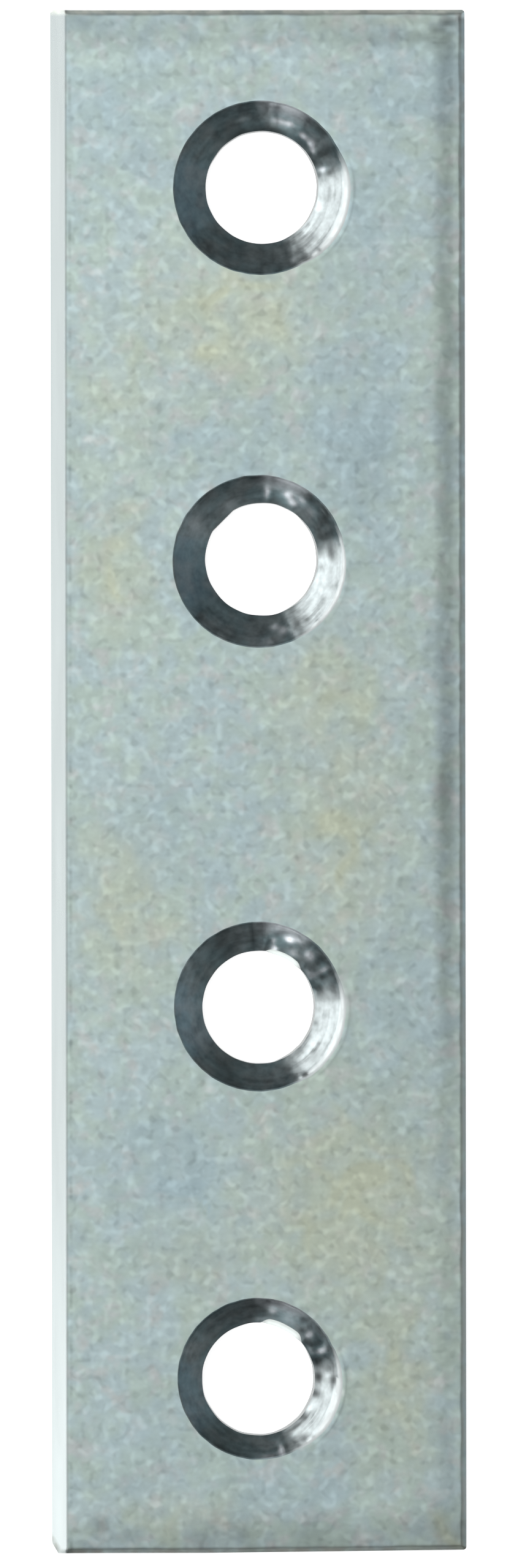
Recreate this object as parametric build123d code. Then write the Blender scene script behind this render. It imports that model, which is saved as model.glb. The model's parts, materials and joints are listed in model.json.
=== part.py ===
"""Mending plate: a flat steel strap with four countersunk screw holes, punched in one piece.

It lies on its back with the countersinks up. X runs across the plate, Y along it and Z through it,
and the origin is the middle of the back face. All sizes are in millimetres.

The long side at -X was the edge of the strip that the plate was cut from, and has a plain bevel.
The other three sides were blanked by a punch, which pulls the face down over its edge, so they
end in a shallow roll and a small radius.
"""

import os
from math import radians, tan

from build123d import *

# The strap
length = 60.0
width = 16.1
thickness = 2.0

# Strip edge, along -X
bevel_width = 0.6
bevel_drop = 0.28

# Blanked edges, along +X and across both ends
roll_width = 1.1
roll_drop = 0.16
edge_radius = 0.15

# Corners, seen from above
corner_radius = 0.12
nick_across = 0.24
nick_along = 0.4

# Screw holes on the centre line, in two pairs: one pair for each board
end_margin = 6.85
pair_pitch = 14.5
hole_diameter = 4.4
countersink_angle = 90.0

# The countersinks get a little shallower from the +Y end to the -Y end
countersink_diameters = (6.7, 6.65, 6.55, 6.3)

# How far a cutting tool runs past the face that it cuts
overrun = 1.0


def outline():
    """The plate from above: small round corners, and a nick off the corner at -X, -Y."""
    left = -width / 2
    bottom = -length / 2
    sheet = Rectangle(width, length)
    round_corners = sheet.vertices().sort_by(lambda corner: corner.X + corner.Y)[1:]
    nick_end = (left + nick_across, bottom)
    nick_side = (left, bottom + nick_along)
    nick = make_face(Polyline((left, bottom), nick_end, nick_side, close=True))
    return fillet(round_corners, corner_radius) - nick


def blanked_half(reach):
    """Half a section, from the middle of the plate out to a blanked edge at reach."""
    flat_end = (reach - roll_width, thickness)
    shoulder = (reach, thickness - roll_drop)
    roll = TangentArc(flat_end, shoulder, tangent=(1, 0))
    rest = Polyline(shoulder, (reach, 0), (0, 0), (0, thickness), flat_end)
    shape = make_face(roll + rest)
    edge = shape.vertices().group_by(Axis.X)[-1].sort_by(Axis.Y)[-1]
    return fillet(edge, edge_radius)


def strip_half(reach):
    """Half a section, from the middle of the plate out to the bevelled strip edge."""
    points = (
        (0, 0),
        (-reach, 0),
        (-reach, thickness - bevel_drop),
        (bevel_width - reach, thickness),
        (0, thickness),
    )
    return make_face(Polyline(*points, close=True))


def strap():
    """The plate without its holes: what its outline and its two sections have in common."""
    across = blanked_half(width / 2) + strip_half(width / 2)
    half_along = blanked_half(length / 2)
    along = half_along + mirror(half_along, about=Plane.YZ)
    blank = extrude(outline(), thickness)
    rolled_side = extrude(Plane.XZ * across, length, both=True)
    rolled_ends = extrude(Plane.YZ * along, width, both=True)
    return blank & rolled_side & rolled_ends


def screw_hole(countersink_diameter):
    """The space of one screw: its shank, and above it the cone of its head."""
    shank = hole_diameter / 2
    rim = countersink_diameter / 2
    slope = tan(radians(countersink_angle / 2))
    cone_foot = thickness - (rim - shank) / slope
    points = (
        (0, -overrun),
        (shank, -overrun),
        (shank, cone_foot),
        (rim + overrun * slope, thickness + overrun),
        (0, thickness + overrun),
    )
    return revolve(Plane.XZ * make_face(Polyline(*points, close=True)), Axis.Z)


def hole_rows():
    """Where the holes lie along the plate, from the +Y end to the -Y end."""
    outer = length / 2 - end_margin
    inner = outer - pair_pitch
    return outer, inner, -inner, -outer


def mending_plate():
    """The whole plate, with a screw hole in each row."""
    plate = strap()
    for row, countersink_diameter in zip(hole_rows(), countersink_diameters):
        plate -= Pos(0, row, 0) * screw_hole(countersink_diameter)
    return plate


os.makedirs("parts", exist_ok=True)
export_step(mending_plate(), "parts/plate.step")
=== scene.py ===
"""The looks of the mending plate: zinc-plated steel, punched and countersunk, lying on a white floor.

The plate is one mesh, made here in millimetres and scaled to metres at the end. It has the form of the
CAD solid and what is too fine for it: the wave of the blanked edges, the rims and turning grooves of the
countersinks, and the torn lower half of the sides. The plate's size and its holes come from the frame.
The materials read the plate's stains, the tool's marks and the light and shade painted on it from numbers
that the mesh holds at each vertex.
"""

import json
import math
from typing import NamedTuple

import bmesh
import bpy
import numpy as np
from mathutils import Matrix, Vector, noise


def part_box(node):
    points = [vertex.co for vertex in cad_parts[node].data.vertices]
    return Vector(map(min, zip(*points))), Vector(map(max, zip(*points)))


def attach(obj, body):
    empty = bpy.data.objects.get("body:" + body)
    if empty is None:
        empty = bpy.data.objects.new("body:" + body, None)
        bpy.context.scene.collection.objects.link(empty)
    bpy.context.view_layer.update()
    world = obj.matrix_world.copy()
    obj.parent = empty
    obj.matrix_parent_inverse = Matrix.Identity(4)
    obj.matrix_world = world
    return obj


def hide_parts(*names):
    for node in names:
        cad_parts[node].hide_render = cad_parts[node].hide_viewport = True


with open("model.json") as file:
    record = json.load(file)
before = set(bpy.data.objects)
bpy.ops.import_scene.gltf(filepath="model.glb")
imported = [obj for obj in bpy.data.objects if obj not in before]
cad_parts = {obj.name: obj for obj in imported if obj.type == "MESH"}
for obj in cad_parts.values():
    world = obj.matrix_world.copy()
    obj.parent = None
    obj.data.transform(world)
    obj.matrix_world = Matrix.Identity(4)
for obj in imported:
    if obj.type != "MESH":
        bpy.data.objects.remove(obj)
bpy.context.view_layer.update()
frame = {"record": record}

MM = 0.001
_, highest_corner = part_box("plate")
HALF_WIDTH, HALF_LENGTH, THICKNESS = np.array(highest_corner) / MM

# --- sizes, in millimetres ------------------------------------------------------------------------

# The CAD solid's edges
BEVEL_WIDTH = 0.6
BEVEL_DROP = 0.28
BEVEL_SOFTNESS = 0.07
CORNER_RADIUS = 0.12
NICK_ACROSS = 0.24
NICK_ALONG = 0.4


class Roll(NamedTuple):
    """The roll along a blanked side as the punch left it, with start and end counted inward."""

    start: float
    end: float
    drop: float
    edge_width: float


SIDE_ROLL = Roll(1.2, 0.25, drop=0.07, edge_width=0.165)
TOP_ROLL = Roll(1.35, 0.65, drop=0.06, edge_width=0.2)
BOTTOM_ROLL = Roll(1.9, 0.35, drop=0.09, edge_width=0.175)

# Past a roll's end the face drops a little more, and its edge is rounded off to a slope in degrees
OUTER_DROP = 0.02
EDGE_SLOPE = 33
EDGE_SOFTNESS = 0.45

# How unevenly the punch left the rolls and their edges, as (amount, size) of each wave
ROLL_WANDER = ((0.12, 2.6), (0.05, 0.7))
EDGE_WANDER = (0.12, 1.3)

# The bottom edge slants in towards +X: from where on, by how much over half the plate's width, and how
# far up the face follows it
SLANT_START = -2
BOTTOM_SLANT = 0.09
SLANT_REACH = 2.1

# The swell of the face as (height, size) of each wave, the room that is left for it under the CAD
# solid's face, and how far the face may have dropped where it still swells
FACE_SWELL = ((0.004, 5.0), (0.0015, 1.2))
SWELL_ROOM = 0.018
SWELL_LIMIT = 0.15

# The sides: where their rows lie as shares of the height, and how deep they are torn and scored
SIDE_ROWS = (1.0, 0.86, 0.72, 0.6, 0.5, 0.38, 0.24, 0.1, 0.0)
TORN_DEPTH = 0.022
SCORED_DEPTH = 0.004

# The mesh: the size of its cells, and half the side of the square block round each hole
CELL = 0.16
BLOCK = 4.5
BLOCK_ROWS = 10
CONE_ROWS = 30

# Its closer lines along the blanked sides: how wide their band is, their cells, and the edge's own width
EDGE_BAND = 1.4
EDGE_CELL = 0.1
EDGE_WIDTH = 0.165

# The rim of a countersink: the ring of the face that follows it, its small radius, and the fold at its foot
RIM_LAND = 0.3
RIM_RADIUS = 0.13
RIM_BENDS = (0, 0.2, 0.4, 0.7, 1)
FOLD_DEPTH = 0.004
FOLD_ROWS = (0.01, 0.04)

# The lip that the countersink tool left, where its strength is 1: how far it reaches inside and outside
# the rim, how steep it is in degrees, the low ridge outside it, and the bead at its end
LIP_WIDTH = 0.22
PLAIN_LIP_WIDTH = 0.02
LIP_OUTSIDE = 0.12
LIP_SLOPE = 36
CONE_SLOPE = 45
LIP_ROWS = (0.35, 0.7, 1)
RIDGE_HEIGHT = 0.01
RIDGE_MIDDLE = 0.17
RIDGE_HALF_WIDTH = 0.07
RIDGE_ROWS = (0.3, 0.25, 0.21, 0.17, 0.13, 0.09)
BEAD_HEIGHT = 0.035
BEAD_RADIUS = 0.11
BEAD_INSET = 0.1

# The walls: how deep the tool's grooves and its chatter are, the radius at which their noise is taken,
# and where the rows of a bore lie as shares of its depth
GROOVE_DEPTH = 0.007
CHATTER_DEPTH = 0.02
GROOVE_RADIUS = 2.8
BORE_ROWS = (0, 0.06, 0.35, 0.7, 0.92, 1)


class HoleMarks(NamedTuple):
    """What is not true about a hole, in millimetres and in degrees from +X towards +Y."""

    sink: tuple  # how far the countersink is off its place
    wider: float  # how much wider its rim is
    bore: tuple  # how far the bore is off its place
    lip: tuple  # the lip's strength, middle and half-length
    bead: float  # where the bead at the lip's end lies
    recess: float = 0.0  # how deep the torn spot lies in the wall above the burr
    burr: float = 0.0  # how far the burr stands into the bore
    torn: tuple = (60, 20)  # the middle and the half-length of both
    flat: tuple = (0.0, 0)  # the depth and the middle of the flat on the bore's wall


# From the +Y end
HOLE_MARKS = (
    HoleMarks((0.11, -0.07), -0.015, (0.175, 0.0), (1.0, -18, 42), -49),
    HoleMarks((0.04, -0.095), -0.02, (0.145, 0.01), (0.35, -25, 35), -46, flat=(0.07, 135)),
    HoleMarks((0.015, -0.10), -0.03, (0.015, -0.145), (0.8, -22, 42), -58, 0.12, 0.18, (63, 21)),
    HoleMarks((-0.02, -0.07), -0.06, (-0.02, -0.125), (1.0, -18, 42), -48, 0.17, 0.24, (64, 24)),
)

# The plate's materials, in the order in which it gets them
FACE, CONE, BORE, SIDE, BACK = range(5)


# --- helpers --------------------------------------------------------------------------------------


def wave(x, y, size, seed):
    """Smooth noise of about -1 to 1 at each point, with features of that size or (across, along) sizes."""
    across, along = size if isinstance(size, tuple) else (size, size)
    flat_x, flat_y = np.ravel(x) / across, np.ravel(y) / along
    values = [noise.noise(Vector((a, b, seed))) for a, b in zip(flat_x, flat_y)]
    return np.reshape(values, np.shape(x)) * 1.6


def smooth(share):
    """A share of 0 to 1, eased at both ends."""
    return share**2 * (3 - 2 * share)


def soft_start(share, soft):
    """The share where it is above zero, with a rounded start."""
    return np.where(share > soft, share, np.clip(share + soft, 0, None) ** 2 / (4 * soft))


def bell(away, half_width):
    """A bell of height 1 with its foot at about twice that half-width."""
    return np.exp(-((away / half_width) ** 2))


def hump(turn, middle, half_length):
    """A round hump from 0 to 1 over an arc, with its middle and half-length in degrees."""
    away = (np.degrees(turn) - middle + 180) % 360 - 180
    return np.clip(1 - (away / half_length) ** 2, 0, 1) ** 0.8


def plateau(turn, middle, half_length):
    """A flat hump from 0 to 1 with smooth ends, with its middle and half-length in degrees."""
    return smooth(np.clip(1.35 * hump(turn, middle, half_length), 0, 1))


# --- the face: a height over every point of the plan ----------------------------------------------


def roll_drop(inward, along, roll, seed):
    """How far the face has dropped at a distance inward from a blanked side: by its roll, and by its edge."""
    along = np.broadcast_to(along, inward.shape)

    def wander(size, extra_seed):
        return wave(along, np.zeros_like(inward), size, seed + extra_seed)

    shift = sum(amount * wander(size, 9 * index) for index, (amount, size) in enumerate(ROLL_WANDER))
    share = np.clip((roll.start + shift - inward) / (roll.start - roll.end), 0, 1)
    outer = OUTER_DROP * np.clip(1 - inward / roll.end, 0, 1)
    amount, size = EDGE_WANDER
    width = roll.edge_width * (1 + amount * wander(size, 3))
    edge = width * math.tan(math.radians(EDGE_SLOPE)) * soft_start(1 - inward / width, EDGE_SOFTNESS)
    return roll.drop * smooth(share) + outer, edge


def side_fade(y):
    """How much of its roll the side at +X has: it fades out towards the lower end."""
    return np.clip(1 + 0.06 * (y + 4), 0.3, 1)


def face_height(x, y):
    """Height of the face over a point of the plan, less what its rolls, its bevel and its edges take."""
    from_strip = HALF_WIDTH + x
    bevel = BEVEL_DROP * soft_start(1 - from_strip / BEVEL_WIDTH, BEVEL_SOFTNESS)
    side, side_edge = roll_drop(HALF_WIDTH - x, y, SIDE_ROLL, 1.0)
    top, top_edge = roll_drop(HALF_LENGTH - y, x, TOP_ROLL, 21.0)
    bottom, bottom_edge = roll_drop(HALF_LENGTH + y, x, BOTTOM_ROLL, 41.0)
    # The ends' rolls and edges run out before they reach the bevel
    ends = (top + bottom) * np.clip(from_strip / 1.5 - 0.3, 0.1, 1)
    end_edge = np.maximum(top_edge, bottom_edge) * np.clip(from_strip / 0.35 - 1.1, 0, 1)
    drop = bevel + np.maximum(side * side_fade(y), ends) + np.maximum(side_edge, end_edge)
    swell = sum(height * wave(x, y, size, 60.0 + index) for index, (height, size) in enumerate(FACE_SWELL))
    return THICKNESS - drop + swell * (drop < SWELL_LIMIT) - SWELL_ROOM


def squeeze_corner(x, y, side, end, size, spread):
    """Moves the points of one square corner inward, so that its outline lies where their spread is 1."""
    across, along = size
    u = (side * x - HALF_WIDTH + across) / across
    v = (end * y - HALF_LENGTH + along) / along
    near = (u > 0) & (v > 0)
    shrink = np.where(near, np.maximum(u, v) / np.where(near, spread(u, v), 1), 1)
    x = np.where(near, side * (HALF_WIDTH - across + u * shrink * across), x)
    y = np.where(near, end * (HALF_LENGTH - along + v * shrink * along), y)
    return x, y


def cut_nick(x, y):
    """Cuts the nick off the corner at -X, -Y."""
    return squeeze_corner(x, y, -1, -1, (NICK_ACROSS, NICK_ALONG), np.add)


def shape_outline(x, y):
    """Rounds the other three corners, and slants the bottom edge a little."""
    for side, end in ((1, 1), (-1, 1), (1, -1)):
        x, y = squeeze_corner(x, y, side, end, (CORNER_RADIUS, CORNER_RADIUS), np.hypot)
    return x, y + bottom_slant(x, y)


def bottom_slant(x, y):
    """How far the slanted bottom edge stands in from square."""
    near_edge = np.clip((-y - HALF_LENGTH + SLANT_REACH) / SLANT_REACH, 0, 1)
    return BOTTOM_SLANT * (np.clip(x - SLANT_START, 0, None) / HALF_WIDTH) * near_edge


# --- mesh patches ---------------------------------------------------------------------------------


class Patches:
    """Grids of points that become one mesh, where each grid has one material."""

    def __init__(self):
        self.points = []
        self.faces = []
        self.materials = []
        self.count = 0

    def add(self, grid, material, keep=None):
        """Adds a grid of points (rows, columns, 3), with the cells of keep or all of them."""
        rows, columns = grid.shape[:2]
        index = np.arange(rows * columns).reshape(rows, columns) + self.count
        corners = (index[:-1, :-1], index[:-1, 1:], index[1:, 1:], index[1:, :-1])
        quads = np.stack(corners, axis=-1)
        quads = quads.reshape(-1, 4) if keep is None else quads[keep]
        self.points.append(grid.reshape(-1, 3))
        self.faces.append(quads)
        self.materials.append(np.full(len(quads), material, np.int32))
        self.count += rows * columns

    def mesh(self, name):
        """The grids as one mesh in metres, and that mesh open for editing and joined where grids meet."""
        mesh = bpy.data.meshes.new(name)
        points = np.concatenate(self.points) * MM
        faces = np.concatenate(self.faces)
        mesh.from_pydata(points.tolist(), [], faces.tolist())
        mesh.polygons.foreach_set("material_index", np.concatenate(self.materials))
        work = bmesh.new()
        work.from_mesh(mesh)
        loose = [vertex for vertex in work.verts if not vertex.link_faces]
        bmesh.ops.delete(work, geom=loose, context="VERTS")
        bmesh.ops.remove_doubles(work, verts=work.verts, dist=2e-6)
        return mesh, work


def closed(grid):
    """The grid with its first column again at its end."""
    return np.concatenate([grid, grid[:, :1]], axis=1)


def stretch(start, end, cell):
    """Evenly spaced lines from start up to end, without the end."""
    steps = max(1, round((end - start) / cell))
    return np.linspace(start, end, steps, endpoint=False)


# --- holes ----------------------------------------------------------------------------------------


def square_path(count):
    """Points round a square of half-size 1, from its corner at +X, -Y, evenly spaced."""
    side = np.linspace(-1, 1, count // 4, endpoint=False)
    one = np.ones_like(side)
    sides = ((one, side), (-side, one), (-one, -side), (side, -one))
    return np.concatenate([np.stack(points, -1) for points in sides])


TURN_COUNT = 4 * round(2 * BLOCK / CELL)
TURN = np.radians(-45) + np.arange(TURN_COUNT) * 2 * math.pi / TURN_COUNT
CIRCLE = np.stack([np.cos(TURN), np.sin(TURN)], -1)
SQUARE = square_path(TURN_COUNT)


def column(values):
    """One value for each point of a ring, to multiply the ring with."""
    return np.broadcast_to(values, TURN.shape)[:, None]


def chatter_share(turn):
    """Where the tool chattered on a countersink's wall: strongest at both ends of its smooth, bright arc."""
    return 0.6 * hump(turn, 55, 50) + 0.6 * hump(turn, 18, 26) + 0.25 * hump(turn, -62, 16)


class Hole:
    """One hole: its size from the frame, its marks, and its block of the mesh from the face to the back."""

    def __init__(self, number, bore, marks):
        self.number = number
        self.marks = marks
        self.radius = bore["dims"]["r_mm"]
        self.foot_drop = THICKNESS - bore["dims"]["length_mm"]
        self.true_rim = self.radius + self.foot_drop
        self.rim = self.true_rim + marks.wider
        self.place = np.array([0, bore["pos_m"][1] / MM])
        self.sink = self.place + marks.sink
        self.shaft = self.place + marks.bore

        strength, middle, half_length = marks.lip
        self.lip = strength * hump(TURN, middle, half_length) * (1 + 0.14 * self.ragged(0.4, 90.0))
        self.held_lip = np.minimum(self.lip, 1)
        self.edge = self.rim + LIP_OUTSIDE * self.lip + 0.01 * self.ragged(0.12, 95.0)
        inner_edge = column(self.edge - BEAD_INSET) * CIRCLE + self.sink
        self.bead_place = inner_edge[np.argmax(hump(TURN, marks.bead, 90))]

    def ragged(self, size, seed):
        """Noise round the hole, with features of that size in radians."""
        return wave(TURN, np.zeros_like(TURN), size, seed + self.number)

    def bead(self, plan):
        """How high the bead stands over points of the plan."""
        return BEAD_HEIGHT * np.exp(-np.sum((plan - self.bead_place) ** 2, axis=-1) / BEAD_RADIUS**2)

    def add_to(self, patches):
        """Adds the face round the hole, its rim, its countersink and its bore."""
        self.ring_z = self.add_block(patches)
        last_reach, last_drop = self.add_rim(patches)
        cone_foot = self.add_cone(patches, last_reach, last_drop)
        self.add_bore(patches, cone_foot)

    def add_block(self, patches):
        """The face, from the block's square in to a ring round the rim, and the height of that ring."""
        shares = np.linspace(0, 1, BLOCK_ROWS)[:, None, None]
        ring = column(self.edge + RIM_LAND) * CIRCLE + self.sink
        plan = (SQUARE * BLOCK + self.place) * (1 - shares) + ring * shares
        z = face_height(plan[..., 0], plan[..., 1])
        patches.add(closed(np.dstack([plan, z])), FACE)
        return z[-1]

    def add_rim(self, patches):
        """A low ridge outside the lip, a small radius, the lip, and a fine fold at its foot."""
        slope = np.radians(CONE_SLOPE - (CONE_SLOPE - LIP_SLOPE) * self.held_lip)
        rows = [
            (self.edge + away, -RIDGE_HEIGHT * self.held_lip * bell(away - RIDGE_MIDDLE, RIDGE_HALF_WIDTH))
            for away in RIDGE_ROWS
        ]
        rounding = RIM_RADIUS * (1 + 0.8 * self.held_lip)
        setback = rounding * np.tan(slope / 2)
        for bend in RIM_BENDS:
            reach = self.edge + setback - rounding * np.sin(bend * slope)
            rows.append((reach, rounding * (1 - np.cos(bend * slope))))
        top_reach, top_drop = rows[-1]
        width = PLAIN_LIP_WIDTH + LIP_WIDTH * self.lip
        for share in LIP_ROWS:
            rows.append((top_reach - width * share, top_drop + width * share * np.tan(slope)))
        fold_reach, fold_drop = rows[-1]
        for away in FOLD_ROWS:
            rows.append((fold_reach - away, fold_drop + away + FOLD_DEPTH * self.held_lip))
        rings = []
        for reach, drop in rows:
            plan = column(reach) * CIRCLE + self.sink
            rings.append(np.column_stack([plan, self.ring_z - drop + self.bead(plan)]))
        last_face_row = len(RIDGE_ROWS)
        patches.add(closed(np.stack(rings[: last_face_row + 1])), FACE)
        patches.add(closed(np.stack(rings[last_face_row:])), CONE)
        return rows[-1]

    def cone_relief(self, drop):
        """Grooves and chatter of the countersink: how far its wall stands in and up at points of its rows."""
        x, y = (np.broadcast_to(GROOVE_RADIUS * wheel(TURN), drop.shape) for wheel in (np.cos, np.sin))
        chattered = np.broadcast_to(0.2 + chatter_share(TURN), drop.shape)
        relief = []
        for a, b, d, chatter in zip(x.ravel(), y.ravel(), drop.ravel(), chattered.ravel()):
            groove = noise.noise(Vector((a / 1.6, b / 1.6, d / 0.16 + 7 * self.number)))
            lump = noise.noise(Vector((a / 0.36, b / 0.36, d / 0.36 + 7 * self.number + 5)))
            relief.append(GROOVE_DEPTH * groove + CHATTER_DEPTH * chatter * lump)
        return np.reshape(relief, drop.shape) * math.sqrt(0.5)

    def bore_edge(self):
        """Radius of the bore's upper edge all round: a little ragged, and cut off by its flat."""
        edge = self.radius + 0.012 * self.ragged(0.3, 97.0)
        depth, middle = self.marks.flat
        if not depth:
            return edge
        facing = np.cos(TURN - math.radians(middle))
        flat = (self.radius - depth) / np.maximum(facing, 0.5)
        return np.where(facing > 0.5, np.minimum(edge, flat), edge)

    def add_cone(self, patches, last_reach, last_drop):
        """The countersink's wall with its grooves, from the last row of its rim down to the bore."""
        shares = np.linspace(0, 1, CONE_ROWS + 1)[:, None]
        torn = self.marks.recess * plateau(TURN, *self.marks.torn)
        reach = last_reach + (self.bore_edge() - last_reach) * shares + torn * shares**3
        drop = last_drop + (self.foot_drop - last_drop) * shares
        relief = self.cone_relief(drop) * np.minimum(1, np.minimum(shares, 1 - shares) * 10)
        centre = self.sink + (self.shaft - self.sink) * shares[:, :, None]
        plan = CIRCLE * (reach - relief)[:, :, None] + centre
        z = self.ring_z - drop + relief - (self.ring_z - THICKNESS) * shares + self.bead(plan)
        patches.add(closed(np.dstack([plan, z])), CONE)
        return z[-1]

    def add_bore(self, patches, top_z):
        """The bore, a little narrower towards the back, with the burr that stands into it."""
        torn_share = plateau(TURN, *self.marks.torn)
        edge = self.bore_edge() + self.marks.recess * torn_share
        narrowing = 0.004 + 0.07 * hump(TURN, -12, 62) + self.marks.burr * torn_share
        rings = []
        for share in BORE_ROWS:
            plan = column(edge - narrowing * min(1, share * 1.4)) * CIRCLE + self.shaft
            rings.append(np.column_stack([plan, top_z * (1 - share)]))
        patches.add(closed(np.stack(rings)), BORE)


BORES = [mount for mount in frame["record"]["mounts"] if mount["kind"] == "bore"]
HOLES = [Hole(number, *pair) for number, pair in enumerate(zip(BORES, HOLE_MARKS))]


# --- the whole plate ------------------------------------------------------------------------------


def edge_lines():
    """Distances inward from a blanked side: close together at its edge, then across the roll."""
    edge = EDGE_WIDTH * np.array([0, 0.3, 0.55, 0.75, 0.95, 1.15, 1.4])
    return np.concatenate([edge, stretch(EDGE_WIDTH * 1.7, EDGE_BAND, EDGE_CELL)])


def plan_lines():
    """Grid lines across and along the plate, which pass through the sides of each hole's block."""
    blanked = edge_lines()
    nick = NICK_ACROSS * np.array([0, 0.33, 0.67])
    bevel = BEVEL_WIDTH * np.array([0.4, 0.6, 0.85, 0.92, 0.96, 1.0, 1.04, 1.08, 1.2])
    across = np.concatenate(
        [
            nick - HALF_WIDTH,
            bevel - HALF_WIDTH,
            stretch(BEVEL_WIDTH * 1.4 - HALF_WIDTH, -BLOCK, CELL),
            stretch(-BLOCK, BLOCK, CELL),
            stretch(BLOCK, HALF_WIDTH - EDGE_BAND, CELL),
            [HALF_WIDTH - EDGE_BAND],
            HALF_WIDTH - blanked[::-1],
        ]
    )
    stops = [EDGE_BAND - HALF_LENGTH]
    for row in sorted(hole.place[1] for hole in HOLES):
        stops += [row - BLOCK, row + BLOCK]
    stops.append(HALF_LENGTH - EDGE_BAND)
    along = [blanked - HALF_LENGTH]
    along += [stretch(start, end, CELL) for start, end in zip(stops[:-1], stops[1:])]
    along += [[stops[-1]], HALF_LENGTH - blanked[::-1]]
    return across, np.concatenate(along)


def add_face(patches):
    """The face with its edges, less the blocks that hold the holes."""
    across, along = plan_lines()
    x, y = cut_nick(*np.meshgrid(across, along))
    z = face_height(x, y)
    x, y = shape_outline(x, y)
    middle_x, middle_y = np.meshgrid((across[1:] + across[:-1]) / 2, (along[1:] + along[:-1]) / 2)
    keep = np.ones(middle_x.shape, bool)
    for hole in HOLES:
        keep &= (np.abs(middle_x) > BLOCK) | (np.abs(middle_y - hole.place[1]) > BLOCK)
    grid = np.stack([x, y, z], axis=-1)
    patches.add(grid, FACE, keep)
    return grid


def add_sides(patches, face):
    """The four sides: cut clean at the top and torn below, down to a sharp lower edge."""
    loop = np.concatenate([face[0, :-1], face[:-1, -1], face[-1, :0:-1], face[:0:-1, 0]])
    loop = np.concatenate([loop, loop[:1]])
    run = np.concatenate([[0], np.cumsum(np.hypot(*np.diff(loop[:, :2], axis=0).T))])
    at_side = np.abs(np.abs(loop[:, 0]) - HALF_WIDTH) < 0.02
    at_end = np.abs(loop[:, 1]) > HALF_LENGTH - 1.4 * BOTTOM_SLANT
    outward = np.sign(loop[:, :2]) * np.stack([at_side, at_end & ~at_side], axis=-1)
    rows = []
    for share in SIDE_ROWS:
        z = loop[:, 2] * share
        torn = TORN_DEPTH * (0.05 < share < 0.55) * np.clip(1 + wave(run, z, (0.35, 0.5), 77.0), 0, None)
        scored = SCORED_DEPTH * (share < 0.95) * np.clip(1.2 + wave(run, z, (0.2, 3.0), 78.0), 0.3, None)
        rows.append(np.column_stack([loop[:, :2] - (torn + scored)[:, None] * outward, z]))
    patches.add(np.stack(rows), SIDE)


def add_back(work):
    """Fills the back between the plate's lower edge and the four bores."""
    lowest = [edge for edge in work.edges if edge.is_boundary]
    filled = bmesh.ops.triangle_fill(work, edges=lowest, use_beauty=True, normal=(0, 0, -1))
    for item in filled["geom"]:
        if isinstance(item, bmesh.types.BMFace):
            item.material_index = BACK


def build_plate():
    """The plate as one closed mesh, with its marks held at each vertex."""
    patches = Patches()
    add_sides(patches, add_face(patches))
    for hole in HOLES:
        hole.add_to(patches)
    mesh, work = patches.mesh("plate_skin")
    add_back(work)
    bmesh.ops.recalc_face_normals(work, faces=work.faces)
    for polygon in work.faces:
        polygon.smooth = True
    work.to_mesh(mesh)
    work.free()
    mesh.set_sharp_from_angle(angle=math.radians(30))
    hold_marks(mesh)
    plate = bpy.data.objects.new("plate_skin", mesh)
    bpy.context.scene.collection.objects.link(plate)
    return plate


# --- marks of wear and of the tools, and painted light and shade, held by the mesh ----------------

# Where the plating has gone tan or blue, and where the face is darker in patches, in millimetres: x, y,
# half-width, half-length, strength
TAN_STAINS = (
    (-1.1, 18.4, 2.6, 2.4, 0.8),
    (-1.9, 16.5, 0.7, 0.9, 0.8),
    (-5.0, 15.5, 1.5, 2.6, 0.4),
    (-5.5, 8.3, 1.1, 1.9, 0.8),
    (2.9, 3.4, 1.9, 2.0, 0.7),
    (3.4, -1.8, 1.7, 3.6, 0.8),
    (-5.2, -4.6, 1.5, 3.0, 0.7),
    (3.6, -16.4, 3.0, 3.4, 0.9),
    (-2.3, -18.5, 1.6, 1.4, 0.5),
    (5.4, -23.4, 1.2, 3.2, 0.7),
    (-3.2, -28.6, 2.4, 0.7, 0.45),
    (7.2, -29.4, 1.0, 0.5, 0.6),
)
BLUE_STAINS = (
    (-5.4, 26.4, 2.0, 2.4, 0.6),
    (5.6, 27.2, 2.2, 1.5, 0.8),
    (4.3, 21.5, 1.3, 3.0, 0.6),
    (4.0, 13.4, 1.5, 3.8, 0.9),
    (-1.2, 13.0, 2.6, 1.0, 0.7),
    (-3.4, -1.9, 2.2, 1.6, 0.6),
    (5.4, -8.8, 1.2, 4.0, 0.5),
    (-3.3, -15.6, 1.7, 2.4, 0.9),
    (-4.2, -26.0, 2.0, 1.6, 0.5),
    (0.8, -27.6, 3.0, 0.9, 0.6),
)
DARK_PATCHES = (
    (7.3, 29.55, 0.3, 0.14, 0.9),
    (6.9, 29.28, 0.35, 0.22, 0.9),
    (6.5, 28.95, 0.6, 0.25, 0.8),
    (7.1, 28.7, 0.35, 0.14, 0.9),
    (5.2, 28.85, 1.0, 0.3, 0.5),
    (7.86, 29.74, 0.12, 0.16, 1.0),
    (-6.2, -28.85, 0.3, 0.25, 0.9),
    (-5.2, -29.3, 1.5, 0.4, 0.3),
    (0.0, -29.4, 4.0, 0.5, 0.5),
    (7.3, -29.0, 0.8, 0.8, 0.4),
    (7.4, -0.6, 0.4, 1.6, 0.5),
    (4.2, 12.0, 0.8, 1.2, 0.3),
)
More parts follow.
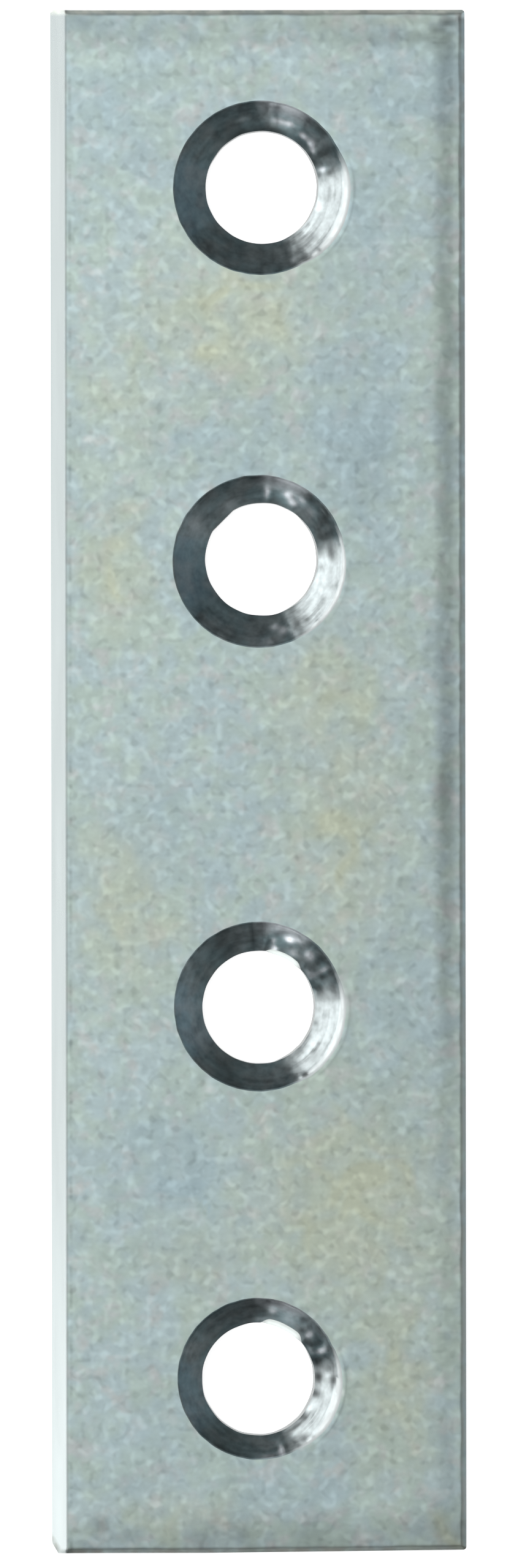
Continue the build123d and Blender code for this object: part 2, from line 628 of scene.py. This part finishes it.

# Where each countersink's wall is painted darker or lighter, partly for the tool's smears and partly as
# painted light and shade, from the hole at the +Y end: the hour as on a clock with 12 at +Y, its half-length
# in hours, how far down the wall from 0 to 1, its half-width, and how many times lighter it is.
TOOL_AND_PAINTED_LIGHT_MARKS = (
    (
        (0.35, 0.12, 0.2, 0.15, 0.6), (0.5, 0.3, 0.55, 0.16, 2.1), (0.5, 0.4, 0.9, 0.13, 0.28),
        (0.6, 0.3, 0.1, 0.2, 0.9), (0.85, 0.16, 0.5, 0.13, 2.0), (1.2, 0.35, 0.15, 0.25, 0.7),
        (1.3, 0.14, 0.62, 0.1, 3.4), (1.35, 0.2, 0.85, 0.1, 0.6), (1.5, 0.3, 0.4, 0.2, 1.6),
        (1.62, 0.14, 0.62, 0.1, 4.2), (1.82, 0.13, 0.73, 0.09, 2.6), (2.05, 0.18, 0.5, 0.7, 0.6),
        (2.1, 0.15, 0.9, 0.12, 0.5), (2.42, 0.09, 0.72, 0.16, 1.9), (2.45, 0.15, 0.12, 0.15, 0.8),
        (2.5, 0.15, 0.6, 0.5, 1.45), (2.55, 0.12, 0.88, 0.1, 0.45), (2.57, 0.1, 0.5, 0.12, 0.33),
        (3.2, 0.2, 0.6, 0.08, 0.75), (3.6, 0.8, 0.85, 0.2, 1.35), (3.75, 0.15, 0.75, 0.08, 0.8),
        (4.45, 0.25, 0.85, 0.08, 1.5), (4.5, 0.25, 0.5, 0.1, 0.55), (4.5, 0.35, 0.14, 0.06, 0.5),
        (4.6, 0.2, 0.7, 0.08, 0.7), (5.0, 0.15, 0.3, 0.3, 1.15), (5.18, 0.1, 0.22, 0.12, 1.8),
        (6.7, 0.7, 0.7, 0.6, 0.85), (10.1, 0.6, 0.2, 0.35, 1.2), (10.4, 0.5, 0.55, 0.3, 1.1),
        (11.1, 0.3, 0.5, 0.8, 0.8), (11.3, 0.5, 0.9, 0.15, 0.65), (11.5, 0.3, 0.5, 0.1, 1.5),
    ),
    (
        (0.22, 0.11, 0.5, 0.35, 2.6), (0.3, 0.35, 0.08, 0.18, 0.5), (0.5, 0.2, 0.8, 0.2, 0.55),
        (0.6, 0.14, 0.48, 0.13, 1.3), (0.8, 0.13, 0.42, 0.13, 3.2), (1.0, 0.17, 0.6, 0.14, 2.7),
        (1.0, 0.25, 0.15, 0.12, 0.7), (1.15, 0.14, 0.35, 0.11, 2.0), (1.35, 0.12, 0.15, 0.12, 0.5),
        (1.5, 0.25, 0.5, 0.3, 1.7), (1.55, 0.12, 0.2, 0.1, 0.8), (1.9, 0.12, 0.25, 0.15, 0.5),
        (2.05, 0.3, 0.8, 0.2, 1.3), (2.2, 0.25, 0.5, 0.7, 0.55), (2.45, 0.2, 0.5, 0.8, 0.88),
        (2.6, 0.2, 0.8, 0.2, 0.75), (2.75, 0.2, 0.45, 0.11, 0.3), (3.0, 0.3, 0.5, 0.6, 1.2),
        (3.2, 0.12, 0.5, 0.12, 0.75), (3.5, 0.7, 0.85, 0.3, 1.3), (4.3, 0.15, 0.75, 0.08, 0.8),
        (4.7, 0.12, 0.3, 0.15, 0.7), (4.9, 0.12, 0.45, 0.15, 0.7), (5.0, 0.18, 0.85, 0.2, 1.3),
        (5.1, 0.12, 0.2, 0.14, 1.8), (5.35, 0.14, 0.45, 0.16, 2.5), (5.55, 0.16, 0.65, 0.14, 2.2),
        (5.7, 0.3, 0.15, 0.2, 1.7), (6.1, 0.4, 0.3, 0.4, 1.3), (7.0, 0.4, 0.3, 0.5, 1.25),
        (10.0, 0.55, 0.4, 0.8, 1.65), (10.6, 0.4, 0.5, 0.8, 1.05), (11.1, 0.4, 0.75, 0.35, 1.5),
        (11.9, 0.25, 0.1, 0.2, 0.7),
    ),
    (
        (0.05, 0.2, 0.7, 0.35, 1.5), (0.12, 0.15, 0.15, 0.3, 0.7), (0.42, 0.1, 0.62, 0.17, 2.2),
        (0.5, 0.12, 0.9, 0.12, 4.0), (0.62, 0.12, 0.15, 0.15, 0.7), (0.82, 0.14, 0.38, 0.13, 4.5),
        (1.05, 0.17, 0.25, 0.09, 2.0), (1.1, 0.2, 0.75, 0.2, 2.0), (1.45, 0.2, 0.12, 0.12, 1.1),
        (1.5, 0.17, 0.45, 0.2, 3.0), (1.72, 0.2, 0.75, 0.15, 0.95), (1.78, 0.1, 0.3, 0.2, 0.7),
        (1.95, 0.3, 0.85, 0.2, 2.0), (2.03, 0.1, 0.35, 0.35, 2.4), (2.17, 0.08, 0.5, 0.4, 0.6),
        (2.4, 0.12, 0.4, 0.2, 1.2), (2.45, 0.3, 0.2, 0.15, 0.6), (2.5, 0.2, 0.75, 0.14, 0.45),
        (2.75, 0.17, 0.5, 0.8, 0.7), (3.1, 0.1, 0.9, 0.1, 0.8), (3.55, 0.12, 0.93, 0.09, 0.55),
        (4.15, 0.22, 0.96, 0.08, 0.5), (4.2, 0.5, 0.55, 0.2, 1.2), (4.35, 0.18, 0.35, 0.17, 0.65),
        (4.65, 0.22, 0.84, 0.14, 0.45), (6.9, 0.5, 0.6, 0.8, 0.52), (8.2, 0.4, 0.4, 0.9, 1.15),
        (9.0, 0.6, 0.3, 0.8, 1.25), (10.0, 0.7, 0.2, 0.4, 1.4), (11.0, 0.3, 0.6, 0.8, 0.8),
        (11.5, 0.2, 0.5, 0.8, 1.3), (11.83, 0.06, 0.5, 0.5, 0.5),
    ),
    (
        (0.05, 0.2, 0.9, 0.2, 1.9), (0.4, 0.15, 0.48, 0.16, 2.4), (0.45, 0.3, 0.1, 0.2, 0.35),
        (0.9, 0.3, 0.6, 0.3, 1.6), (1.0, 0.25, 0.1, 0.2, 0.6), (1.4, 0.08, 0.7, 0.12, 0.5),
        (1.5, 0.3, 0.3, 0.5, 1.5), (1.65, 0.1, 0.6, 0.17, 2.6), (1.97, 0.12, 0.55, 0.25, 0.5),
        (2.0, 0.25, 0.2, 0.25, 1.5), (2.05, 0.2, 0.9, 0.12, 1.7), (2.12, 0.12, 0.15, 0.15, 0.9),
        (2.22, 0.11, 0.55, 0.28, 3.0), (2.5, 0.15, 0.1, 0.1, 1.8), (2.52, 0.2, 0.85, 0.25, 0.22),
        (2.65, 0.2, 0.35, 0.3, 0.5), (2.92, 0.09, 0.5, 0.14, 1.6), (2.95, 0.25, 0.5, 0.8, 0.72),
        (2.97, 0.16, 0.88, 0.16, 0.17), (3.0, 0.17, 0.12, 0.2, 0.65), (3.05, 0.12, 0.25, 0.14, 0.35),
        (3.5, 0.3, 0.95, 0.1, 0.7), (3.52, 0.12, 0.88, 0.2, 0.22), (4.0, 0.2, 0.85, 0.2, 1.5),
        (4.15, 0.2, 0.2, 0.08, 0.7), (4.35, 0.14, 0.87, 0.16, 0.3), (4.75, 0.22, 0.82, 0.12, 0.35),
        (4.75, 0.1, 0.25, 0.15, 0.5), (4.9, 0.17, 0.6, 0.11, 1.8), (5.2, 0.12, 0.4, 0.3, 0.7),
        (5.4, 0.08, 0.25, 0.2, 4.0), (5.55, 0.2, 0.6, 0.12, 1.6), (5.75, 0.3, 0.12, 0.14, 2.2),
        (6.9, 0.7, 0.5, 0.8, 0.6), (8.1, 0.4, 0.4, 0.8, 1.2), (9.8, 0.7, 0.3, 0.5, 1.35),
        (11.1, 0.5, 0.5, 1.0, 0.75), (11.9, 0.3, 0.4, 0.5, 0.6),
    ),
)


def stain_cover(x, y, stains, seed):
    """How strongly each point is stained: soft patches with ragged edges."""
    ragged = min(0.9, 0.5 * min(half_width + half_length for _, _, half_width, half_length, _ in stains))
    x = x + ragged * wave(x, y, 1.6, seed)
    y = y + ragged * wave(x, y, 1.6, seed + 4)
    cover = np.zeros_like(x)
    for centre_x, centre_y, half_width, half_length, strength in stains:
        reach = ((x - centre_x) / half_width) ** 2 + ((y - centre_y) / half_length) ** 2
        cover = np.maximum(cover, strength * np.exp(-0.8 * reach))
    return cover * (1 + 0.5 * wave(x, y, 0.9, seed + 8))


def painted_shade_and_patches(x, y):
    """Painted shade on the face: darker to the right and the bottom, in a soft band along each rolled edge,
    and in darker patches.
    """
    # Painted shade: lighter towards the upper left, darker towards the lower right
    shade = 0.975 - 0.055 * x / HALF_WIDTH + 0.08 * y / HALF_LENGTH
    patchy = 1 + 0.5 * wave(x, y, 1.4, 321.0) + 0.25 * wave(x, y, 0.5, 322.0)
    wander = 0.15 * wave(x, y, 2.0, 301.0)
    # Painted shade in a soft band along each rolled edge
    for inward, middle, half_width, depth in (
        (HALF_WIDTH - x, 0.76, 0.5, 0.145 * side_fade(y)),
        (HALF_LENGTH - y, 1.05, 0.5, 0.13),
        (HALF_LENGTH - y, 0.45, 0.3, 0.13),
        (HALF_LENGTH + y, 0.4, 0.65, 0.12),
    ):
        shade -= depth * patchy * bell(inward + wander - middle, half_width)
    return shade - 0.3 * stain_cover(x, y, DARK_PATCHES, 261.0)


def top_band(x, y):
    """A faint tan band along the right half of the top edge."""
    patchy = 0.3 + 0.4 * wave(x, y, 1.5, 221.0)
    return bell(HALF_LENGTH - y - 0.45, 0.25) * patchy * np.clip(x / 4, 0, 1)


def tool_marks_and_painted_light(nearest, turn, distance):
    """How many times lighter each point of the countersinks' walls is painted, for the tool's marks and as
    painted light and shade.
    """
    hour = (90 - np.degrees(turn)) / 30 % 12
    strength = np.zeros_like(distance)
    for hole, marks in zip(HOLES, TOOL_AND_PAINTED_LIGHT_MARKS):
        share = (hole.true_rim - distance) / (hole.true_rim - hole.radius)
        for middle, half_length, depth, half_width, lighter in marks:
            away = (hour - middle + 6) % 12 - 6
            reach = (away / half_length) ** 2 + ((share - depth) / half_width) ** 2
            strength += (nearest == hole.number) * math.log(lighter) * np.exp(-reach)
    return np.exp(strength)


def face_marks(x, y):
    """The stains, the painted shade with its darker patches, and how far each point is from the blanked sides
    and the strip edge.
    """
    from_end = HALF_LENGTH - np.abs(y - bottom_slant(x, y))
    nick_reach = (HALF_WIDTH + x) / NICK_ACROSS + (HALF_LENGTH + y) / NICK_ALONG - 1
    from_nick = nick_reach * NICK_ACROSS * NICK_ALONG / math.hypot(NICK_ACROSS, NICK_ALONG)
    return {
        "tan": stain_cover(x, y, TAN_STAINS, 201.0) + top_band(x, y),
        "blue": stain_cover(x, y, BLUE_STAINS, 231.0),
        "shade": painted_shade_and_patches(x, y),
        "from_side": np.min((HALF_WIDTH - x, from_end, from_nick), axis=0),
        "from_strip": HALF_WIDTH + x,
    }


def hole_marks(x, y):
    """What the tools left round the hole that is nearest to each point, and that countersink's slope line."""
    centres = np.array([hole.sink for hole in HOLES])
    nearest = np.argmin(np.abs(y[:, None] - centres[:, 1]), axis=1)
    outward = np.stack([x, y], axis=-1) - centres[nearest]
    distance = np.maximum(np.linalg.norm(outward, axis=1), 1e-6)
    turn = np.arctan2(outward[:, 1], outward[:, 0])
    rim = np.array([hole.rim for hole in HOLES])[nearest]
    inner_lip = np.array([hole.true_rim for hole in HOLES])[nearest] - 0.09
    lip_strength, lip_middle, lip_half_length = np.array([hole.marks.lip for hole in HOLES])[nearest].T
    lip = lip_strength * hump(turn, lip_middle, lip_half_length)
    has_burr = np.array([hole.marks.burr > 0 for hole in HOLES])[nearest]
    torn_middle, torn_half_length = np.array([hole.marks.torn for hole in HOLES])[nearest].T
    return {
        "lip": (distance > inner_lip) * hump(turn, -20, 46),
        # Painted highlight along the outer edge of each lip
        "lip_edge": lip * bell(distance - rim - LIP_OUTSIDE * lip - 0.01, 0.06),
        "streaked": hump(turn, -46, 20) + 0.3 * hump(turn, -15, 30),
        # Painted light: a lighter patch on each wall near the rim, a little past twelve o'clock
        "rubbed": np.clip((distance - inner_lip) / 0.4 + 1, 0, 1) * hump(turn, 72, 22),
        # Painted highlight: the arc of each wall that faces the key lamp
        "bright_arc": plateau(turn, -25, 44),
        # Tool smears, and painted light and shade on the walls
        "smeared": tool_marks_and_painted_light(nearest, turn, distance),
        "burr": has_burr * plateau(turn, torn_middle, torn_half_length),
        "down_cone": np.column_stack([outward / distance[:, None], np.ones_like(x)]) * math.sqrt(0.5),
    }


def hold_marks(mesh):
    """Stores each mark as one number or direction for each vertex, for the materials to read."""
    places = np.zeros(len(mesh.vertices) * 3, np.float32)
    mesh.vertices.foreach_get("co", places)
    x, y = places.reshape(-1, 3).T[:2].astype(float) / MM
    for name, values in {**face_marks(x, y), **hole_marks(x, y)}.items():
        kind, field = ("FLOAT", "value") if values.ndim == 1 else ("FLOAT_VECTOR", "vector")
        attribute = mesh.attributes.new(name, kind, "POINT")
        attribute.data.foreach_set(field, values.ravel().astype(np.float32))


# --- materials ------------------------------------------------------------------------------------

ZINC = (0.41, 0.51, 0.525)
ZINC_GREEN = (0.42, 0.515, 0.475)
ZINC_ROSE = (0.465, 0.505, 0.50)
TAN = (0.465, 0.51, 0.405)
BLUE = (0.36, 0.465, 0.495)
BARE_STEEL = (0.51, 0.56, 0.56)
# Painted shade along the blanked edges
EDGE_SHADE = (0.355, 0.375, 0.345)

# The countersink's colours: dark turned steel, darker still as painted shade of the hollow; a painted lit
# patch; tool smears with painted light and shade; a painted highlight arc; and the lip
TURNED_SHADED_BLUE = (0.12, 0.167, 0.178)
TURNED_SHADED_GREY = (0.137, 0.165, 0.17)
LIT_PATCH = (0.35, 0.38, 0.4)
SMEARED_AND_LIT = (0.23, 0.245, 0.258)
HIGHLIGHT_ARC = (0.5, 0.55, 0.555)
LIP = (0.48, 0.51, 0.51)

PUNCHED = ((0.27, 0.29, 0.29), (0.42, 0.44, 0.44))
# The burr's pale colour is a painted highlight
BURR_HIGHLIGHT = (0.64, 0.69, 0.67)
SCORED = ((0.38, 0.43, 0.42), (0.48, 0.53, 0.52))
TORN = ((0.26, 0.29, 0.29), (0.38, 0.41, 0.41))

# How deep the finest grain of each surface is, in millimetres
GRAIN_DEPTH = 0.006
SIDE_GRAIN_DEPTH = 0.01


class Surface:
    """A metal material under construction, with short calls for the nodes used here."""

    def __init__(self, name):
        self.material = bpy.data.materials.new(name)
        self.material.use_nodes = True
        self.tree = self.material.node_tree
        self.shader = self.tree.nodes["Principled BSDF"]
        self.shader.inputs["Metallic"].default_value = 1
        place = self.node("TexCoord").outputs["Object"]
        self.place = self.node("VectorMath", {0: place, "Scale": 1 / MM}, operation="SCALE").outputs[0]
        _, self.along, self.height = self.node("SeparateXYZ", {0: self.place}).outputs

    def node(self, kind, inputs=(), **settings):
        """A node of that kind, where each input is a value or another node's output."""
        node = self.tree.nodes.new("ShaderNode" + kind)
        for setting, value in settings.items():
            setattr(node, setting, value)
        for socket, value in dict(inputs).items():
            self.feed(node.inputs[socket], value)
        return node

    def feed(self, socket, value):
        """Links another node's output to the socket, or sets a value on it."""
        if isinstance(value, bpy.types.NodeSocket):
            self.tree.links.new(value, socket)
        else:
            socket.default_value = value

    def noise(self, frequency, detail=2.0, roughness=0.5, stretch=(1, 1, 1), offset=0.0):
        """Noise of about 0 to 1 with that many features to a millimetre."""
        place = self.node("VectorMath", {0: self.place, 1: stretch}, operation="MULTIPLY").outputs[0]
        place = self.node("VectorMath", {0: place, 1: (offset,) * 3}, operation="ADD").outputs[0]
        inputs = {"Vector": place, "Scale": frequency, "Detail": detail, "Roughness": roughness}
        return self.node("TexNoise", inputs).outputs["Fac"]

    def held(self, name):
        """A number that the mesh holds at each vertex."""
        return self.node("Attribute", attribute_name=name).outputs["Fac"]

    def math(self, operation, first, second=0.0, third=0.0, clamp=False):
        """The result of one operation on numbers, each a value or another node's output."""
        inputs = {0: first, 1: second, 2: third}
        return self.node("Math", inputs, operation=operation, use_clamp=clamp).outputs[0]

    def times(self, first, *others):
        """The product of all the numbers."""
        for other in others:
            first = self.math("MULTIPLY", first, other)
        return first

    def clamped(self, value):
        """The number, held between 0 and 1."""
        return self.math("MULTIPLY", value, 1.0, clamp=True)

    def add_share(self, value, amount, share):
        """The number, plus that amount of the share."""
        return self.math("MULTIPLY_ADD", share, amount, value)

    def vary(self, value, amount, noise):
        """The number, raised and lowered by noise of that amount from end to end."""
        return self.add_share(value, amount, self.math("SUBTRACT", noise, 0.5))

    def away(self, value, middle):
        """How far the number is from a middle value."""
        return self.math("ABSOLUTE", self.math("SUBTRACT", value, middle))

    def ramp(self, value, low_in, high_in, low_out=0.0, high_out=1.0):
        """The number, mapped smoothly from one range on to another and held inside it."""
        inputs = {0: value, 1: low_in, 2: high_in, 3: low_out, 4: high_out}
        return self.node("MapRange", inputs, interpolation_type="SMOOTHSTEP").outputs[0]

    def mix(self, share, first, second, blend="MIX"):
        """Two colours mixed, each a colour or another node's output."""
        first, second = ((*color, 1) if isinstance(color, tuple) else color for color in (first, second))
        inputs = {0: share, 6: first, 7: second}
        return self.node("Mix", inputs, data_type="RGBA", blend_type=blend).outputs[2]

    def brighten(self, color, amount):
        """The colour times a number that varies over the surface."""
        return self.mix(1.0, color, amount, "MULTIPLY")

    def finish(self, color, roughness, grain, grain_depth=GRAIN_DEPTH):
        """The material with its colour, its roughness and a grain of 0 to 1 times that depth."""
        inputs = {"Height": grain, "Distance": grain_depth * MM, "Strength": 1.0}
        self.feed(self.shader.inputs["Base Color"], color)
        self.feed(self.shader.inputs["Roughness"], roughness)
        self.feed(self.shader.inputs["Normal"], self.node("Bump", inputs).outputs[0])
        return self.material


class Zinc(Surface):
    """Clouded and speckled zinc plating, as it is where nothing has marked it."""

    def __init__(self, name):
        super().__init__(name)
        self.fine = self.noise(2.8, 1, stretch=(0.9, 1.05, 1))
        cloud = self.noise(0.45, 2, 0.6, offset=40.0)
        green = self.ramp(self.noise(0.8, offset=60.0), 0.35, 0.65)
        rose = self.ramp(self.noise(1.1, offset=70.0), 0.5, 0.75)
        self.color = self.mix(rose, self.mix(green, ZINC_GREEN, ZINC), ZINC_ROSE)
        light = self.vary(1.0, 0.31, self.fine)
        light = self.vary(light, 0.19, self.noise(1.25, 1, offset=30.0))
        light = self.vary(light, 0.13, cloud)
        pale_specks = self.ramp(self.noise(2.9, 0, offset=110.0), 0.5, 0.85, 0.0, 0.19)
        dark_specks = self.ramp(self.noise(3.0, 0, offset=130.0), 0.18, 0.45, -0.14, 0.0)
        self.light = self.math("ADD", dark_specks, self.math("ADD", pale_specks, light))
        self.roughness = self.ramp(cloud, 0.3, 0.7, 0.38, 0.46)


def zinc_back():
    """The back: plain zinc."""
    zinc = Zinc("zinc_back")
    return zinc.finish(zinc.brighten(zinc.color, zinc.light), zinc.roughness, zinc.fine)


def stained_and_shaded_zinc(zinc):
    """The colour of the face away from its edges: stained, with painted shade, a broken dark line of painted
    shade beside the strip edge, and a painted highlight outside each countersink's lip.
    """
    color = zinc.mix(zinc.clamped(zinc.held("tan")), zinc.color, TAN)
    color = zinc.mix(zinc.clamped(zinc.held("blue")), color, BLUE)
    broken = zinc.ramp(zinc.noise(1.6, 2, 0.6, stretch=(0.3, 1, 0)), 0.4, 0.66)
    # Painted shade: a broken dark line beside the strip edge
    strip_shade_line = zinc.ramp(zinc.away(zinc.held("from_strip"), 0.75), 0.0, 0.12, 0.22, 0.0)
    light = zinc.times(zinc.light, zinc.held("shade"))
    light = zinc.math("SUBTRACT", light, zinc.times(strip_shade_line, broken))
    # Painted highlight just outside each countersink's lip
    light = zinc.add_share(light, 0.25, zinc.held("lip_edge"))
    return zinc.brighten(color, light)


def zinc_face():
    """The face: stained zinc with painted shade, the bare bevel of the strip edge with painted light and a
    painted dark fold, and grey lines of painted shade along the other edges.
    """
    zinc = Zinc("zinc_face")
    from_strip, along = zinc.held("from_strip"), zinc.along

    bevel = zinc.ramp(from_strip, 0.51, 0.68, 1.0, 0.0)
    # Faint marks drawn along the bevel, and painted light that makes the bevel brighter towards the lower end
    drawn_and_lit = zinc.ramp(zinc.noise(3.0, stretch=(1, 0.06, 1)), 0.3, 0.7, 0.98, 1.02)
    drawn_and_lit = zinc.times(drawn_and_lit, zinc.ramp(along, -29, -10, 1.21, 0.99))
    color = zinc.mix(bevel, stained_and_shaded_zinc(zinc), zinc.brighten(BARE_STEEL, drawn_and_lit))
    # Painted shade: a dark line along the fold between the bevel and the face
    color = zinc.brighten(color, zinc.ramp(zinc.away(from_strip, BEVEL_WIDTH), 0.0, 0.08, 0.64, 1.0))

    # Painted shade: a broken grey line along each blanked edge, lighter along the top edge, darker along the
    # bottom edge and near the strip
    edge_shade_breaks = zinc.ramp(zinc.noise(1.4, offset=90.0), 0.35, 0.6, 0.4, 1.0)
    line = zinc.times(zinc.ramp(zinc.held("from_side"), 0.05, 0.26, 1.0, 0.0), edge_shade_breaks)
    line_light = zinc.times(
        zinc.ramp(along, -29.86, -29.66, 0.68, 1.0),
        zinc.ramp(along, 29.6, 29.8, 1.0, 2.7),
        zinc.ramp(from_strip, 0.4, 0.8, 0.85, 1.0),
        zinc.ramp(along, -25, 25, 1.12, 0.92),
    )
    color = zinc.mix(line, color, zinc.brighten(EDGE_SHADE, line_light))

    plated = zinc.math("SUBTRACT", 1.0, bevel)
    roughness = zinc.add_share(zinc.times(zinc.roughness, plated), 0.24, bevel)
    grain = zinc.times(zinc.math("SUBTRACT", zinc.fine, 0.5), plated)
    return zinc.finish(color, roughness, grain)


def countersink():
    """Turned wall of a countersink: dark, partly as painted shade of the hollow, smooth round the hole and
    rough down its slope, with painted light and shade in patches and a painted highlight on the arc that
    faces the key lamp.
    """
    cone = Surface("countersink")
    cone.shader.inputs["Anisotropic"].default_value = 0.75
    down_cone = cone.node("Attribute", attribute_name="down_cone").outputs["Vector"]
    cone.feed(cone.shader.inputs["Tangent"], down_cone)
    fleck = cone.noise(2.0, 2, 0.6)
    patch = cone.noise(1.1, offset=40.0)
    turned = cone.noise(1.0, 2, 0.6, stretch=(0.5, 0.5, 5), offset=20.0)
    # Dark turned steel, darkened further as painted shade of the hollow
    color = cone.mix(cone.ramp(patch, 0.35, 0.65), TURNED_SHADED_BLUE, TURNED_SHADED_GREY)
    # Painted light: a lighter patch near the rim
    color = cone.mix(cone.held("rubbed"), color, LIT_PATCH)
    # Tool smears and painted light and shade: a neutral grey where the walls are painted much lighter
    color = cone.mix(cone.ramp(cone.held("smeared"), 1.0, 2.5), color, SMEARED_AND_LIT)
    # Painted highlight on the arc that faces the key lamp
    color = cone.mix(cone.held("bright_arc"), color, HIGHLIGHT_ARC)
    streak = cone.times(cone.ramp(turned, 0.45, 0.65, 0.0, -0.35), cone.held("streaked"))
    color = cone.brighten(color, cone.math("ADD", cone.vary(1.0, 1.2, fleck), streak))
    # Painted light and shade from the marks, times each wall's colour
    color = cone.brighten(color, cone.held("smeared"))
    color = cone.mix(cone.clamped(cone.held("lip")), color, LIP)
    return cone.finish(color, cone.ramp(fleck, 0.3, 0.7, 0.32, 0.42), fleck)


def punched_bore():
    """The punched wall under the countersink, scored along the punch's way, with its burr painted pale as a
    highlight, lighter lower down.
    """
    bore = Surface("bore")
    scored = bore.noise(5.0, 3, 0.6, stretch=(1, 1, 0.12))
    color = bore.mix(bore.ramp(scored, 0.35, 0.65), *PUNCHED)
    # Painted highlight: the burr is painted pale, and lighter lower down
    burr = bore.brighten(BURR_HIGHLIGHT, bore.ramp(bore.height, 0.55, 0.95, 1.3, 1.0))
    color = bore.mix(bore.held("burr"), color, burr)
    return bore.finish(color, bore.ramp(scored, 0.3, 0.7, 0.34, 0.48), scored)


def cut_side():
    """The sides: scored by the punch above, torn and duller below."""
    side = Surface("cut_side")
    scored = side.noise(4.0, 3, 0.6, stretch=(1, 1, 0.1))
    torn = side.noise(5.0, 4, 0.7, offset=15.0)
    lower = side.ramp(side.height, 0.8, 1.1, 1.0, 0.0)
    upper_color = side.mix(side.ramp(scored, 0.35, 0.65), *SCORED)
    lower_color = side.mix(side.ramp(torn, 0.3, 0.7), *TORN)
    color = side.mix(lower, upper_color, lower_color)
    grain = side.mix(lower, scored, torn)
    return side.finish(color, side.ramp(lower, 0, 1, 0.34, 0.52), grain, SIDE_GRAIN_DEPTH)


# --- stage ----------------------------------------------------------------------------------------


class Lamp(NamedTuple):
    """A soft lamp: where it stands in degrees, its size in metres, and how bright it is in a mirror."""

    azimuth: float
    elevation: float
    width: float
    height: float
    radiance: float
    color: tuple = (1, 1, 1)


LAMPS = {
    "overhead": Lamp(165, 73, 1.35, 1.05, 0.88),
    "left_high": Lamp(170, 36, 1.2, 0.34, 0.7),
    "right_high": Lamp(0, 42, 0.9, 0.5, 0.3),
    "key": Lamp(156, 16, 1.16, 0.28, 3.5),
    "key_end": Lamp(195, 16, 0.22, 0.28, 2.0),
    "low_fill": Lamp(248, 17, 0.38, 0.25, 3.5),
    "right_fill": Lamp(10, 12, 0.9, 0.3, 0.6, (0.7, 0.92, 1.15)),
}
LAMP_DISTANCE = 0.9
WORLD_LIGHT = 0.15

FLOOR_SIZE = 6
FLOOR_COLOR = (0.8, 0.8, 0.8, 1)
FLOOR_GLOW = 0.75
WHITE = (1, 1, 1, 1)

# The camera: its lens in millimetres, how much it sees along the plate in metres, the point it looks
# at in metres from the plate's middle, and how far it is turned in degrees
LENS = 280
FRAMED_LENGTH = 0.06095
AIM = (-0.000126, -0.0000988)
CAMERA_TURN = -0.0726


def white_floor():
    """A pale floor that the camera and the metal see as white, and that still takes the shadow."""
    bpy.ops.mesh.primitive_plane_add(size=FLOOR_SIZE)
    floor = bpy.context.object
    floor.name = "floor"
    material = bpy.data.materials.new("floor")
    material.use_nodes = True
    nodes, links = material.node_tree.nodes, material.node_tree.links
    shader = nodes["Principled BSDF"]
    shader.inputs["Base Color"].default_value = FLOOR_COLOR
    shader.inputs["Roughness"].default_value = 0.9
    shader.inputs["Specular IOR Level"].default_value = 0.0
    shader.inputs["Emission Color"].default_value = WHITE
    rays = nodes.new("ShaderNodeLightPath").outputs
    seen = rays["Is Camera Ray"]
    for other in ("Is Glossy Ray", "Is Transmission Ray"):
        either = nodes.new("ShaderNodeMath")
        either.operation = "MAXIMUM"
        links.new(seen, either.inputs[0])
        links.new(rays[other], either.inputs[1])
        seen = either.outputs[0]
    strength = nodes.new("ShaderNodeMath")
    strength.operation = "MULTIPLY"
    strength.inputs[1].default_value = FLOOR_GLOW
    links.new(seen, strength.inputs[0])
    links.new(strength.outputs[0], shader.inputs["Emission Strength"])
    floor.data.materials.append(material)


def direction(azimuth, elevation):
    """Unit vector towards a compass direction counted from +X towards +Y, in degrees."""
    a, e = math.radians(azimuth), math.radians(elevation)
    return Vector((math.cos(a) * math.cos(e), math.sin(a) * math.cos(e), math.sin(e)))


def softbox(name, lamp):
    """Adds a lamp that faces the plate and that the camera doesn't see."""
    light = bpy.data.lights.new(name, "AREA")
    light.shape = "RECTANGLE"
    light.size = lamp.width
    light.size_y = lamp.height
    # An area lamp spreads its power over four times its area
    light.energy = lamp.radiance * 4 * lamp.width * lamp.height
    light.color = lamp.color
    item = bpy.data.objects.new(name, light)
    towards = direction(lamp.azimuth, lamp.elevation)
    item.location = towards * LAMP_DISTANCE
    item.rotation_euler = towards.to_track_quat("Z", "Y").to_euler()
    item.visible_camera = False
    bpy.context.scene.collection.objects.link(item)


def light_studio():
    """The white world and all the lamps."""
    world = bpy.data.worlds.new("studio")
    bpy.context.scene.world = world
    world.use_nodes = True
    background = world.node_tree.nodes["Background"]
    background.inputs["Color"].default_value = WHITE
    background.inputs["Strength"].default_value = WORLD_LIGHT
    for name, lamp in LAMPS.items():
        softbox(name, lamp)


def look_down():
    """A long lens straight above the plate, framed as long as the plate and a little more."""
    camera_data = bpy.data.cameras.new("camera")
    camera = bpy.data.objects.new("camera", camera_data)
    bpy.context.scene.collection.objects.link(camera)
    bpy.context.scene.camera = camera
    camera_data.lens = LENS
    camera_data.clip_start = 0.01
    camera_data.clip_end = 20
    camera_data.dof.use_dof = False
    distance = camera_data.lens / camera_data.sensor_width * FRAMED_LENGTH
    camera.location = (*AIM, THICKNESS * MM + distance)
    camera.rotation_euler = (0, 0, math.radians(CAMERA_TURN))


plate = build_plate()
for surface in (zinc_face(), countersink(), punched_bore(), cut_side(), zinc_back()):
    plate.data.materials.append(surface)
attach(plate, "root")
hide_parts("plate")
white_floor()
light_studio()
look_down()

bpy.context.scene.view_settings.view_transform = "Standard"
